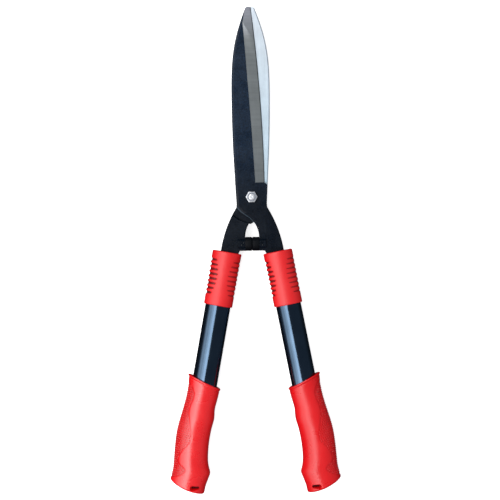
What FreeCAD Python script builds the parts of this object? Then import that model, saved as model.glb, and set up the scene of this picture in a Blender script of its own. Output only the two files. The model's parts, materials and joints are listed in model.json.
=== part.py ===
"""Hedge shears, closed, lying flat. Each separate piece is written to parts/NODE.step.

Lengths are in millimetres. Every piece is modelled in the pivot frame: the pivot axis is Z,
the blades point along +Y, and the two blades meet on the plane z = 0. On export everything
moves so that the origin is on the ground under the middle of the tool's outline.

The two halves of the tool are one design turned half a turn about Y. The front half has the
upper blade and the right handle. The rear half has the lower blade and the left handle.
A handle has its own frame: u runs down its centre line from the mouth of the collar, w points
away from the other handle, and z is the tool's own Z.
"""

import FreeCAD
import Part
import math
import os

V = FreeCAD.Vector

# ---- Where the tool stands in its own frame ----
PIVOT_FROM_ORIGIN_Y = 61.9      # the pivot, ahead of the middle of the outline
PIVOT_HEIGHT = 16.42            # the blades' meeting plane, above the ground

# ---- Blades ----
BLADE_THICKNESS = 4.0
FACE_RELIEF = 0.2               # the flat faces stand this far back from the meeting plane
BEARING_LAND_RADIUS = 14.0      # a round land at the pivot, where the two blades meet
BEARING_LAND_GAP = 0.03         # from the land to the meeting plane
OUTER_Z = FACE_RELIEF + BLADE_THICKNESS
EDGE_HEEL = (15.5, 17.0)        # cutting edge, from heel to tip
EDGE_TIP = (0.8, 223.8)
EDGE_BOW = 2.9                  # how far the cutting edge bulges from its chord
EDGE_THICKNESS = 0.45
BEVEL_HEEL = (4.7, 17.0)        # the line where the ground bevel starts
BEVEL_TIP = (-10.4, 224.0)
BEVEL_BOW = 0.8
TIP_CROWN = (-2.4, 224.8)
SPINE = [(-6.2, 221.2), (-13.7, 199.8), (-18.9, 178.5), (-21.6, 157.0),
         (-22.6, 115.0), (-21.4, 60.0), (-19.4, 20.0), (-17.9, -9.0)]
ARM_INNER = [(-17.9, -11.4), (-10.0, -19.7), (-3.5, -24.0), (1.2, -28.0), (5.6, -35.0), (8.2, -46.5)]
HEEL_SHOULDER = (18.6, 14.6)
HEEL_WAIST = (17.9, -8.0)
ARM_OUTER_START = (18.3, -12.0)
ARM_OUTER_MIDDLE = (29.9, -35.6)
SPINE_CHAMFER = (2.8, 1.1)      # across the outer face, and through the thickness
INNER_CHAMFER = (1.3, 0.8)      # the same on the face that meets the other blade
ARM_CHAMFER = (1.4, 1.1)
SEAM_CHAMFER = (3.4, 1.6)       # on the arm's inner edge beside the pivot, where it lies over the other blade
BOLSTER_CLEAR_RADIUS = 28.0     # the thick arm starts outside this radius from the pivot
BOLSTER_SLOPE = 3.4             # and rises over this much more radius

# ---- Pivot ----
BOLT_RADIUS = 4.0
THREAD_RADIUS = 3.9
RUNNING_CLEARANCE = 0.05
AXIAL_CLEARANCE = 0.05
HEX_ACROSS_FLATS = 13.0
NUT_HEX_HEIGHT = 5.2
NUT_HEIGHT = 7.8
NUT_CROWN_RADIUS = 5.9
INSERT_OUTER_RADIUS = 5.0
INSERT_THICKNESS = 2.0
BOLT_STICK_OUT = 1.1            # past the top of the nut
HEAD_HEIGHT = 5.3
THRUST_WASHER_RADIUS = 9.0
THRUST_WASHER_THICKNESS = 1.2
SPRING_WASHER_RADIUS = 8.0
SPRING_WASHER_THICKNESS = 0.8
SPRING_WASHER_RISE = 0.5

# ---- Bumpers, which meet on the plane x = 0 when the shears are closed ----
BUMPER_Y = -55.0
BUMPER_RADIUS = 8.2
BUMPER_FACE_X = 0.15
BUMPER_SEAT_X = 8.2
BUMPER_ROUND = 1.6
BOSS_RADIUS = 7.0
BOSS_END_X = 16.4
STEM_RADIUS = 4.0
STEM_END_X = 14.6
BUMPER_PIN_X = 11.6
BUMPER_PIN_RADIUS = 1.5
BUMPER_PIN_LENGTH = 13.4

# ---- Handles ----
HANDLE_ANGLE = math.radians(10.6)
COLLAR_MOUTH = (29.7, -64.1)    # u = 0, w = 0
COLLAR_LENGTH = 64.2
COLLAR_TOP = (17.3, 14.1)       # half width in w, half depth in z
COLLAR_BOTTOM = (16.9, 13.7)
COLLAR_LIP = 2.0
COLLAR_ROUND_TOP = 1.4
COLLAR_ROUND_BOTTOM = 1.0
WINDOW_CLEARANCE = 0.45
GROOVES = 8
GROOVE_FIRST_U = 11.2
GROOVE_PITCH = 5.57
GROOVE_WIDTH = 2.3
GROOVE_DEPTH = 1.9
GROOVE_END_W = 8.0              # the middle grooves stop this far from the centre line
GROOVE_END_RISE = 3.8           # the first and last stop this much sooner
SHOULDER_W = (-13.5, 7.6)       # the arm where it enters the collar
SHOULDER_U = 2.0
TANG_W = (-10.4, 7.6)
TANG_HALF_THICKNESS = 3.5
TANG_END_U = 52.0
TUBE = (14.9, 11.6)
TUBE_NECK = (13.4, 10.3)        # the swaged end inside the collar
TUBE_WALL = 1.0
TUBE_START_U = 2.2
NECK_END_U = 54.5
FLARE_END_U = 60.0
TUBE_END_U = 266.0
INSERT_END_U = 54.0
PIN_U = (17.0, 41.0)
PIN_RADIUS = 2.5
PIN_LENGTH = 20.2
FIT_GAP = 0.05
PLUG_DEPTH = 12.0
PLUG_WALL = 1.8
PLUG_FLANGE = 1.6

# Grip sections down the handle: u, inner side w, outer side w, half depth
GRIP_SECTIONS = [(130.0, -19.6, 20.4, 15.4), (148.0, -19.3, 20.0, 15.2), (160.0, -19.0, 18.9, 15.0),
                 (172.0, -18.3, 18.8, 14.8), (185.0, -17.2, 19.7, 15.0), (197.0, -18.3, 21.1, 15.5),
                 (209.0, -17.2, 22.5, 15.9), (220.0, -16.9, 23.0, 16.1), (232.0, -17.5, 22.5, 16.0),
                 (245.0, -19.2, 21.4, 15.9), (253.0, -21.5, 20.6, 15.9), (260.0, -24.4, 20.0, 16.0),
                 (268.0, -23.2, 20.3, 16.2), (277.0, -21.7, 20.8, 16.4), (292.0, -21.6, 20.6, 16.4)]
GRIP_STATIONS = 37
GRIP_RIM = ((149.0, 20.0), (160.6, -19.1))       # outer and inner ends of the slanted mouth
GRIP_BUTT = ((276.2, 20.8), (283.1, 0.0), (285.9, -21.8))
GRIP_BUTT_ROUND = 2.2
HANG_SLOT_CENTRE = (71.0, -340.4)                # in the pivot frame, its length along X
HANG_SLOT_LENGTH = 11.0
HANG_SLOT_WIDTH = 4.6


def placed(u, w):
    """A point of the right handle's frame, as x and y in the pivot frame."""
    along, across = math.sin(HANDLE_ANGLE), math.cos(HANDLE_ANGLE)
    return (COLLAR_MOUTH[0] + u * along + w * across, COLLAR_MOUTH[1] - u * across + w * along)


def to_handle(shape):
    """Moves a shape made with x = w, y = z and z = u onto the right handle."""
    along, across = math.sin(HANDLE_ANGLE), math.cos(HANDLE_ANGLE)
    matrix = FreeCAD.Matrix(across, 0, along, COLLAR_MOUTH[0],
                            along, 0, -across, COLLAR_MOUTH[1],
                            0, 1, 0, 0,
                            0, 0, 0, 1)
    moved = shape.copy()
    moved.Placement = FreeCAD.Placement(matrix).multiply(moved.Placement)
    return moved


def turned_over(shape):
    """The same piece on the other half: half a turn about Y."""
    other = shape.copy()
    other.rotate(V(0, 0, 0), V(0, 1, 0), 180)
    return other


def at(point, z=0.0):
    return V(point[0], point[1], z)


def line(a, b):
    return Part.makeLine(at(a), at(b))


def arc(a, b, c):
    return Part.Arc(at(a), at(b), at(c)).toShape()


def smooth(points):
    curve = Part.BSplineCurve()
    curve.interpolate([at(p) for p in points])
    return curve.toShape()


def bowed(y, heel, tip, bow):
    """x of a line from heel to tip that bulges by bow at its middle."""
    share = (y - heel[1]) / (tip[1] - heel[1])
    return heel[0] + (tip[0] - heel[0]) * share + 4 * bow * share * (1 - share)


def slab(low_z, high_z, reach=400.0):
    return Part.makeBox(2 * reach, 2 * reach, high_z - low_z, V(-reach, -reach, low_z))


def oval(half, u):
    """An oval wire across the handle, before to_handle. half is its half width and half depth."""
    return Part.Wire(Part.Ellipse(V(0, 0, u), half[0], half[1]).toShape())


def oval_rod(half, u0, u1, end_half=None):
    return Part.makeLoft([oval(half, u0), oval(end_half or half, u1)], True, True)


def larger(half, by):
    return (half[0] + by, half[1] + by)


def cylinder(radius, start, direction, length):
    return Part.makeCylinder(radius, length, start, direction)


# ---- Blades ----

def half_outline():
    """The whole flat outline of the front half: blade, heel, arm and tang."""
    middle_y = (EDGE_HEEL[1] + EDGE_TIP[1]) / 2
    edge_middle = (bowed(middle_y, EDGE_HEEL, EDGE_TIP, EDGE_BOW), middle_y)
    arm_outer_end = placed(0, SHOULDER_W[1])
    tang_corners = [placed(TANG_END_U, TANG_W[1]), placed(TANG_END_U, TANG_W[0]),
                    placed(SHOULDER_U, TANG_W[0]), placed(SHOULDER_U, SHOULDER_W[0]),
                    placed(0, SHOULDER_W[0])]
    lug_bottom = BUMPER_Y - BUMPER_RADIUS
    lug = [(placed(0, SHOULDER_W[0])[0] - 1.8, lug_bottom), (BUMPER_SEAT_X, lug_bottom)]
    edges = [arc(SPINE[0], TIP_CROWN, EDGE_TIP),
             arc(EDGE_TIP, edge_middle, EDGE_HEEL),
             line(EDGE_HEEL, HEEL_SHOULDER),
             line(HEEL_SHOULDER, HEEL_WAIST),
             line(HEEL_WAIST, ARM_OUTER_START),
             arc(ARM_OUTER_START, ARM_OUTER_MIDDLE, arm_outer_end)]
    corners = [arm_outer_end] + tang_corners + lug + [ARM_INNER[-1]]
    edges += [line(a, b) for a, b in zip(corners, corners[1:])]
    edges += [smooth(ARM_INNER[::-1]), line(ARM_INNER[0], SPINE[-1]), smooth(SPINE[::-1])]
    return Part.Face(Part.Wire(edges))


def bevel_cutter():
    """What the grinding takes off: a wedge from the bevel line down to the cutting edge."""
    sections = []
    stations = 7
    overrun = 6.0
    for i in range(stations):
        y = EDGE_HEEL[1] + (EDGE_TIP[1] + overrun - EDGE_HEEL[1]) * i / (stations - 1)
        start = bowed(y, BEVEL_HEEL, BEVEL_TIP, BEVEL_BOW)
        edge = bowed(y, EDGE_HEEL, EDGE_TIP, EDGE_BOW)
        slope = (BLADE_THICKNESS - EDGE_THICKNESS) / (edge - start)
        past = 4.0
        corners = [V(start - past, y, OUTER_Z + past * slope),
                   V(edge + past, y, OUTER_Z - (edge + past - start) * slope),
                   V(edge + past, y, OUTER_Z + past * slope)]
        sections.append(Part.makePolygon(corners + corners[:1]))
    return Part.makeLoft(sections, True, False)


def tang_relief():
    """Two slabs that thin the part of the arm inside the handle down to the tang."""
    height = OUTER_Z - TANG_HALF_THICKNESS + 1
    slabs = [Part.makeBox(60, height, 100, V(-30, z, SHOULDER_U))
             for z in (TANG_HALF_THICKNESS, -TANG_HALF_THICKNESS - height)]
    return [to_handle(s) for s in slabs]


def edges_on(shape, keep):
    """The edges of shape whose two ends and middle all satisfy keep."""
    found = []
    for edge in shape.Edges:
        first, last = edge.ParameterRange
        if all(keep(edge.valueAt(p)) for p in (first, (first + last) / 2, last)):
            found.append(edge)
    return found


def chamfer_cutter(points, face_z, up, size, end_size=None):
    """Takes the corner off a flat face along a line of points that has the metal on its left.

    up is 1 for a face that looks along +Z and -1 for one that looks along -Z. The chamfer
    tapers from size at the first point to end_size at the last.
    """
    end_size = end_size or size
    curve = Part.BSplineCurve()
    curve.interpolate([at(p) for p in points])
    first, last = curve.FirstParameter, curve.LastParameter
    stations = 2 * len(points) + 1
    past = 1.5
    sections = []
    for i in range(stations):
        share = i / (stations - 1)
        p = first + (last - first) * share
        wide, deep = [a + (b - a) * share for a, b in zip(size, end_size)]
        spot, tangent = curve.value(p), curve.tangent(p)[0]
        inward = V(-tangent.y, tangent.x, 0)
        raised = V(0, 0, face_z + up * past * deep / wide)
        sunk = V(0, 0, face_z - up * (deep + past * deep / wide))
        inner, outer = spot + inward * (wide + past), spot - inward * past
        corners = [inner + raised, outer + sunk, outer + raised]
        sections.append(Part.makePolygon(corners + corners[:1]))
    return Part.makeLoft(sections, True, False)


def extended(points, before, after):
    """points with one more at each end, along the end segments."""
    def beyond(a, b, distance):
        length = math.hypot(a[0] - b[0], a[1] - b[1])
        return (a[0] + (a[0] - b[0]) * distance / length, a[1] + (a[1] - b[1]) * distance / length)
    return ([beyond(points[0], points[1], before)] + list(points)
            + [beyond(points[-1], points[-2], after)])


def blade(hole_radius):
    """One blade with its arm, lug and tang, as the front half."""
    outline = half_outline()
    plate = outline.copy()
    plate.translate(V(0, 0, FACE_RELIEF))
    plate = plate.extrude(V(0, 0, BLADE_THICKNESS)).cut(bevel_cutter())
    back = extended(SPINE, 6.0, 4.0)
    plate = plate.cut([chamfer_cutter(back, OUTER_Z, 1, SPINE_CHAMFER),
                       chamfer_cutter(back, FACE_RELIEF, -1, INNER_CHAMFER)])

    bolster = outline.copy()
    bolster.translate(V(0, 0, -OUTER_Z))
    bolster = bolster.extrude(V(0, 0, 2 * OUTER_Z))
    bolster = bolster.common(Part.makeBox(200, 200, 60, V(-100, ARM_OUTER_START[1] - 201, -30)))
    hollow = Part.makeCone(BOLSTER_CLEAR_RADIUS + BOLSTER_SLOPE, BOLSTER_CLEAR_RADIUS,
                           2 * OUTER_Z + 2, V(0, 0, -OUTER_Z - 1))
    bolster = bolster.cut(hollow)

    body = plate.fuse(bolster)
    arm_outer = [placed(0, SHOULDER_W[1]), ARM_OUTER_MIDDLE, ARM_OUTER_START]
    chamfers = [chamfer_cutter(ARM_INNER, OUTER_Z, 1, SEAM_CHAMFER, ARM_CHAMFER),
                chamfer_cutter(ARM_INNER, -OUTER_Z, -1, ARM_CHAMFER)]
    chamfers += [chamfer_cutter(arm_outer, z, up, ARM_CHAMFER) for z, up in ((OUTER_Z, 1), (-OUTER_Z, -1))]
    body = body.cut(chamfers)
    boss = cylinder(BOSS_RADIUS, V(BUMPER_SEAT_X, BUMPER_Y, 0), V(1, 0, 0), BOSS_END_X - BUMPER_SEAT_X)
    land = cylinder(BEARING_LAND_RADIUS, V(0, 0, BEARING_LAND_GAP), V(0, 0, 1), FACE_RELIEF + 0.5)
    body = body.fuse([boss, land]).removeSplitter()
    holes = [cylinder(hole_radius, V(0, 0, -1), V(0, 0, 1), OUTER_Z + 2),
             cylinder(STEM_RADIUS + FIT_GAP, V(BUMPER_SEAT_X - 1, BUMPER_Y, 0), V(1, 0, 0),
                      STEM_END_X + 1.2 - BUMPER_SEAT_X),
             cylinder(BUMPER_PIN_RADIUS + FIT_GAP, V(BUMPER_PIN_X, BUMPER_Y, -10), V(0, 0, 1), 20)]
    holes += [to_handle(cylinder(PIN_RADIUS + FIT_GAP, V(0, -10, u), V(0, 1, 0), 20)) for u in PIN_U]
    return body.cut(tang_relief() + holes)


# ---- Pivot fasteners ----

def hexagon(z, height):
    """A hexagonal prism with two corners on the X axis."""
    corner = HEX_ACROSS_FLATS / math.sqrt(3)
    points = [V(corner * math.cos(math.radians(60 * i)), corner * math.sin(math.radians(60 * i)), z)
              for i in range(7)]
    return Part.Face(Part.makePolygon(points)).extrude(V(0, 0, height))


def chamfered_hexagon(z, height, top):
    """A hexagon whose corners are turned off at its upper end, or its lower end."""
    flat_radius = HEX_ACROSS_FLATS / 2 - 0.25
    turning = height * 2
    spread = flat_radius + turning * 2.0
    if top:
        cone = Part.makeCone(spread, flat_radius, turning, V(0, 0, z + height - turning))
    else:
        cone = Part.makeCone(flat_radius, spread, turning, V(0, 0, z))
    return hexagon(z, height).common(cone)


def nut():
    base = OUTER_Z
    body = chamfered_hexagon(base, NUT_HEX_HEIGHT, True)
    crown = cylinder(NUT_CROWN_RADIUS, V(0, 0, base), V(0, 0, 1), NUT_HEIGHT)
    crown = crown.makeFillet(0.8, edges_on(crown, lambda p: abs(p.z - base - NUT_HEIGHT) < 1e-6))
    pocket = cylinder(INSERT_OUTER_RADIUS + 0.02, V(0, 0, base + NUT_HEIGHT - INSERT_THICKNESS - 0.3),
                      V(0, 0, 1), INSERT_THICKNESS)
    mouth = cylinder(INSERT_OUTER_RADIUS - 0.4, V(0, 0, base), V(0, 0, 1), NUT_HEIGHT + 1)
    throat = cylinder(THREAD_RADIUS + 0.02, V(0, 0, base - 1), V(0, 0, 1), NUT_HEIGHT + 2)
    above = NUT_HEIGHT - INSERT_THICKNESS - 0.3
    mouth = mouth.common(slab(base + above, base + NUT_HEIGHT + 1))
    return body.fuse(crown).removeSplitter().cut([pocket, mouth, throat])


def nut_insert():
    low = OUTER_Z + NUT_HEIGHT - INSERT_THICKNESS - 0.3
    ring = cylinder(INSERT_OUTER_RADIUS, V(0, 0, low), V(0, 0, 1), INSERT_THICKNESS - 0.02)
    return ring.cut(cylinder(THREAD_RADIUS + 0.02, V(0, 0, low - 1), V(0, 0, 1), INSERT_THICKNESS + 2))


def washer_stack():
    """Heights of the faces under the rear blade: thrust washer, spring washer, bolt head."""
    thrust = -OUTER_Z - AXIAL_CLEARANCE
    spring = thrust - THRUST_WASHER_THICKNESS
    head = spring - SPRING_WASHER_THICKNESS - SPRING_WASHER_RISE
    return thrust, spring, head


def bolt():
    thrust, spring, head = washer_stack()
    tip = OUTER_Z + NUT_HEIGHT + BOLT_STICK_OUT
    thread = cylinder(THREAD_RADIUS, V(0, 0, 0), V(0, 0, 1), tip)
    thread = thread.makeChamfer(0.9, edges_on(thread, lambda p: abs(p.z - tip) < 1e-6))
    shank = cylinder(BOLT_RADIUS, V(0, 0, head - 1), V(0, 0, 1), 1 - head)
    head_hex = chamfered_hexagon(head - HEAD_HEIGHT, HEAD_HEIGHT, False)
    return head_hex.fuse([shank, thread]).removeSplitter()


def thrust_washer():
    thrust, spring, head = washer_stack()
    disc = cylinder(THRUST_WASHER_RADIUS, V(0, 0, spring), V(0, 0, 1), THRUST_WASHER_THICKNESS)
    disc = disc.makeChamfer(0.25, edges_on(disc, lambda p: abs(p.z - spring) < 1e-6))
    return disc.cut(cylinder(BOLT_RADIUS + RUNNING_CLEARANCE, V(0, 0, spring - 1), V(0, 0, 1), 4))


def spring_washer():
    """A dished ring: high at its rim against the thrust washer, low at its hole on the bolt head."""
    thrust, spring, head = washer_stack()
    inner = BOLT_RADIUS + 0.15
    outer = SPRING_WASHER_RADIUS
    profile = [V(inner, 0, head), V(outer, 0, head + SPRING_WASHER_RISE),
               V(outer, 0, spring), V(inner, 0, head + SPRING_WASHER_THICKNESS)]
    return Part.Face(Part.makePolygon(profile + profile[:1])).revolve(V(0, 0, 0), V(0, 0, 1), 360)


# ---- Bumpers ----

def bumper():
    """A rubber buffer: a drum that meets its twin, and a stem in the arm's boss."""
    head = cylinder(BUMPER_RADIUS, V(BUMPER_FACE_X, BUMPER_Y, 0), V(1, 0, 0), BUMPER_SEAT_X - BUMPER_FACE_X)
    head = head.makeFillet(BUMPER_ROUND, edges_on(head, lambda p: abs(p.x - BUMPER_FACE_X) < 1e-6))
    stem_start = BUMPER_SEAT_X - 1
    stem = cylinder(STEM_RADIUS, V(stem_start, BUMPER_Y, 0), V(1, 0, 0), STEM_END_X - stem_start)
    hole = cylinder(BUMPER_PIN_RADIUS + FIT_GAP, V(BUMPER_PIN_X, BUMPER_Y, -10), V(0, 0, 1), 20)
    return head.fuse(stem).removeSplitter().cut(hole)


def bumper_pin():
    low = -BUMPER_PIN_LENGTH / 2
    pin = cylinder(BUMPER_PIN_RADIUS, V(BUMPER_PIN_X, BUMPER_Y, low), V(0, 0, 1), BUMPER_PIN_LENGTH)
    return pin.makeChamfer(0.3, edges_on(pin, lambda p: abs(abs(p.z) - abs(low)) < 1e-6))


# ---- Handle pieces, made upright and then laid on the right handle ----

def tube_rod(grow, u0, u1):
    """The tube's outside, grown by a gap, between two places on the handle."""
    whole = oval_rod(larger(TUBE_NECK, grow), u0, NECK_END_U)
    flare = oval_rod(larger(TUBE_NECK, grow), NECK_END_U, FLARE_END_U, larger(TUBE, grow))
    return whole.fuse([flare, oval_rod(larger(TUBE, grow), FLARE_END_U, u1)])


def pin_holes(radius):
    return [cylinder(radius, V(0, -20, u), V(0, 1, 0), 40) for u in PIN_U]


def tube():
    outside = tube_rod(0, TUBE_START_U, TUBE_END_U)
    inside = tube_rod(-TUBE_WALL, TUBE_START_U - 1, TUBE_END_U + 1)
    return to_handle(outside.cut([inside] + pin_holes(PIN_RADIUS + FIT_GAP)))


def tang_insert():
    """Fills the swaged end of the tube around the tang."""
    body = oval_rod(larger(TUBE_NECK, -TUBE_WALL - FIT_GAP), TUBE_START_U, INSERT_END_U)
    width = TANG_W[1] - TANG_W[0] + 2 * FIT_GAP
    depth = 2 * (TANG_HALF_THICKNESS + FIT_GAP)
    slot = Part.makeBox(width, depth, TANG_END_U + FIT_GAP, V(TANG_W[0] - FIT_GAP, -depth / 2, 0))
    return to_handle(body.cut([slot] + pin_holes(PIN_RADIUS + FIT_GAP)))


def tang_pins():
    pins = []
    for u in PIN_U:
        pin = cylinder(PIN_RADIUS, V(0, -PIN_LENGTH / 2, u), V(0, 1, 0), PIN_LENGTH)
        pins.append(to_handle(pin.makeChamfer(0.4, [e for e in pin.Edges if e.Closed])))
    return Part.makeCompound(pins)


def groove_cutters():
    """Side grooves of the collar, longest in the middle of each side."""
    centre = GROOVE_FIRST_U + GROOVE_PITCH * (GROOVES - 1) / 2
    bottom = larger(COLLAR_BOTTOM, -GROOVE_DEPTH + 0.3)
    core = oval_rod(bottom, 0, COLLAR_LENGTH)
    cutters = []
    for i in range(GROOVES):
        u = GROOVE_FIRST_U + GROOVE_PITCH * i
        off_centre = (u - centre) / (GROOVE_FIRST_U - centre)
        stop = GROOVE_END_W + GROOVE_END_RISE * off_centre ** 2
        for low in (stop, -stop - 30):
            bar = Part.makeBox(30, 60, GROOVE_WIDTH, V(low, -30, u - GROOVE_WIDTH / 2))
            cutters.append(bar.cut(core))
    return cutters


def collar():
    body = oval_rod(COLLAR_TOP, 0, COLLAR_LENGTH, COLLAR_BOTTOM)
    rounds = [(0.0, COLLAR_ROUND_TOP), (COLLAR_LENGTH, COLLAR_ROUND_BOTTOM)]
    for u, radius in rounds:
        body = body.makeFillet(radius, edges_on(body, lambda p: abs(p.z - u) < 1e-6))
    bore = tube_rod(FIT_GAP, COLLAR_LIP, COLLAR_LENGTH + 1)
    low, high = SHOULDER_W[0] - WINDOW_CLEARANCE, SHOULDER_W[1] + WINDOW_CLEARANCE
    half = OUTER_Z + WINDOW_CLEARANCE
    window = Part.makeBox(high - low, 2 * half, COLLAR_LIP + 2, V(low, -half, -1))
    return to_handle(body.cut([bore, window] + groove_cutters()))


def tube_plug():
    """Closes the lower end of the tube, inside the grip."""
    stem = oval_rod(larger(TUBE, -TUBE_WALL - FIT_GAP), TUBE_END_U - PLUG_DEPTH, TUBE_END_U)
    inside = larger(TUBE, -TUBE_WALL - PLUG_WALL)
    hollow = oval_rod(inside, TUBE_END_U - PLUG_DEPTH - 1, TUBE_END_U - PLUG_WALL)
    flange = oval_rod(TUBE, TUBE_END_U, TUBE_END_U + PLUG_FLANGE)
    return to_handle(stem.cut(hollow).fuse(flange).removeSplitter())


def grip_size(u):
    """Inner side, outer side and half depth at u, on smooth curves through GRIP_SECTIONS."""
    rows = GRIP_SECTIONS
    i = max(k for k in range(len(rows) - 1) if rows[k][0] <= u)
    before, a, b, after = rows[max(i - 1, 0)], rows[i], rows[i + 1], rows[min(i + 2, len(rows) - 1)]
    step = b[0] - a[0]
    t = (u - a[0]) / step
    sizes = []
    for k in (1, 2, 3):
        slope_a = (b[k] - before[k]) / (b[0] - before[0]) * step
        slope_b = (after[k] - a[k]) / (after[0] - a[0]) * step
        sizes.append((1 + 2 * t) * (1 - t) ** 2 * a[k] + t * (1 - t) ** 2 * slope_a
                     + t * t * (3 - 2 * t) * b[k] - t * t * (1 - t) * slope_b)
    return sizes


def grip_section(u):
    """A grip's outline across the handle at u."""
    inner, outer, half_depth = grip_size(u)
    return Part.Wire(Part.Ellipse(V((inner + outer) / 2, 0, u), (outer - inner) / 2, half_depth).toShape())


def grip_keep():
    """Everything between the grip's slanted mouth and its rounded butt, seen from the front."""
    (mouth_out_u, mouth_out_w), (mouth_in_u, mouth_in_w) = GRIP_RIM
    slant = (mouth_in_u - mouth_out_u) / (mouth_in_w - mouth_out_w)
    reach = 40.0

    def flat(u, w):
        return V(w, -30, u)

    top_out = flat(mouth_out_u + slant * (reach - mouth_out_w), reach)
    top_in = flat(mouth_in_u + slant * (-reach - mouth_in_w), -reach)
    butt = [flat(*p) for p in GRIP_BUTT]
    butt_out = V(reach, -30, GRIP_BUTT[0][0])
    butt_in = V(-reach, -30, GRIP_BUTT[2][0])
    edges = [Part.makeLine(top_in, top_out), Part.makeLine(top_out, butt_out),
             Part.makeLine(butt_out, butt[0]), Part.Arc(*butt).toShape(),
             Part.makeLine(butt[2], butt_in), Part.makeLine(butt_in, top_in)]
    return Part.Face(Part.Wire(edges)).extrude(V(0, 60, 0))


def hang_slot():
    """The slot through the butt that the tool hangs from."""
    x, y = HANG_SLOT_CENTRE
    radius = HANG_SLOT_WIDTH / 2
    half = HANG_SLOT_LENGTH / 2 - radius
    ends = [cylinder(radius, V(x + side * half, y, -30), V(0, 0, 1), 60) for side in (-1, 1)]
    return Part.makeBox(2 * half, HANG_SLOT_WIDTH, 60, V(x - half, y - radius, -30)).fuse(ends)


def grip():
    first, last = GRIP_SECTIONS[0][0], GRIP_SECTIONS[-1][0]
    stations = [first + (last - first) * i / (GRIP_STATIONS - 1) for i in range(GRIP_STATIONS)]
    body = Part.makeLoft([grip_section(u) for u in stations], True, False)
    body = body.common(grip_keep())
    butt_u = min(u for u, w in GRIP_BUTT)
    butt_edges = [e for e in body.Edges if min(v.Z for v in e.Vertexes) > butt_u - 1.5]
    body = body.makeFillet(GRIP_BUTT_ROUND, butt_edges)
    bore = oval_rod(larger(TUBE, FIT_GAP), GRIP_RIM[0][0] - 20, TUBE_END_U + PLUG_FLANGE + FIT_GAP)
    return to_handle(body.cut(bore)).cut(hang_slot())


# ---- The whole tool ----

def handle_pieces():
    """Every piece of the front half's handle that the rear half has too."""
    return {"bumper": bumper(), "bumper_pin": bumper_pin(), "tang_insert": tang_insert(),
            "tang_pins": tang_pins(), "collar": collar(), "tube": tube(),
            "tube_plug": tube_plug(), "grip": grip()}


def all_pieces():
    pieces = {"front_blade": blade(THREAD_RADIUS + FIT_GAP),
              "rear_blade": turned_over(blade(BOLT_RADIUS + RUNNING_CLEARANCE)),
              "pivot_bolt": bolt(), "pivot_nut": nut(), "nut_insert": nut_insert(),
              "thrust_washer": thrust_washer(), "spring_washer": spring_washer()}
    for name, shape in handle_pieces().items():
        pieces["right_" + name] = shape
        pieces["left_" + name] = turned_over(shape)
    return pieces


def main():
    os.makedirs("parts", exist_ok=True)
    for name, shape in all_pieces().items():
        shape.translate(V(0, PIVOT_FROM_ORIGIN_Y, PIVOT_HEIGHT))
        if not shape.isValid() or shape.Volume <= 0:
            raise ValueError(f"{name} is not a sound solid")
        shape.exportStep(os.path.join("parts", name + ".step"))
        print(f"{name:20s} {len(shape.Solids)} solid(s) {shape.Volume / 1000:8.2f} cm3")


main()
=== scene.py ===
import contextlib
import json
import math

import bmesh
import bpy
import numpy as np
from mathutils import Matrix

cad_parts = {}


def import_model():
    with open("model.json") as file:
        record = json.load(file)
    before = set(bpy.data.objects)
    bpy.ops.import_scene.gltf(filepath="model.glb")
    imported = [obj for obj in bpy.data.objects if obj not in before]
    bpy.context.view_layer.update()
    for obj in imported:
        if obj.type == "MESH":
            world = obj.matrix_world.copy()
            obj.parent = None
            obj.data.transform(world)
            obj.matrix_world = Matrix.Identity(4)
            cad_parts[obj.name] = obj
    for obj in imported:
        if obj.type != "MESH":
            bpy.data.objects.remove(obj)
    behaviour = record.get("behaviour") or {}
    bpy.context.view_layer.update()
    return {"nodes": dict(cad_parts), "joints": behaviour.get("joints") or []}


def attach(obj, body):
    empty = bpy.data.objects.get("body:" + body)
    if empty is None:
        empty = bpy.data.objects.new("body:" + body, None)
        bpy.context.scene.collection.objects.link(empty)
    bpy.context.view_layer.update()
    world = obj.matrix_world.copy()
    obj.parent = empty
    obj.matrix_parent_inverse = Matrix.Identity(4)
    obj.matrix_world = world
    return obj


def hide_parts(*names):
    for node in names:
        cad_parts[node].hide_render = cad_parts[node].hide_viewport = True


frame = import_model()

# Lengths below are millimetres in the pivot frame unless a name ends in _M. The pivot frame has its
# origin on the pivot axis where the two blades meet, +Y to the tips. u runs down a handle from the
# collar's mouth, w points away from the other handle.
MM = 0.001
PIVOT_M = np.array(frame["joints"][0]["pos_m"], float)
FRONT, REAR = "front_half", "rear_half"
SIDES = (("right", FRONT, 1), ("left", REAR, -1))

HANDLE_ANGLE = math.radians(10.6)
COLLAR_MOUTH = (29.7, -64.1)
COLLAR_LENGTH = 64.2
# Half width and half depth of the ovals.
COLLAR_TOP = (17.3, 14.1)
COLLAR_BOTTOM = (16.9, 13.7)
TUBE = (14.9, 11.6)
TUBE_NECK = (13.4, 10.3)
TUBE_WALL = 1.0
OUTER_Z = 4.2       # the front blade's outer face


# ---- geometry helpers

def to_row(points, side):
    """Pivot-frame millimetres of the front (right) half, as row-frame metres on either side."""
    return np.array(points, float) * (side, 1, side) * MM + PIVOT_M


def from_handle(uwz, side):
    """Handle coordinates (u, w, z) to the row frame."""
    uwz = np.asarray(uwz, float)
    u, w, z = uwz[..., 0], uwz[..., 1], uwz[..., 2]
    s, c = math.sin(HANDLE_ANGLE), math.cos(HANDLE_ANGLE)
    x = COLLAR_MOUTH[0] + u * s + w * c
    y = COLLAR_MOUTH[1] - u * c + w * s
    return to_row(np.stack([x, y, z], -1), side)


def mark_recess_shade(obj, values):
    """Stores how much painted shade darkens each vertex, 0 to 1, for the material: it goes in grooves and
    on the sunken panel.
    """
    attribute = obj.data.attributes.new("recess_shade", "FLOAT", "POINT")
    attribute.data.foreach_set("value", np.asarray(values, np.float32))


def smoothstep(lo, hi, x):
    t = np.clip((np.asarray(x, float) - lo) / (hi - lo), 0, 1)
    return t * t * (3 - 2 * t)


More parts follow.
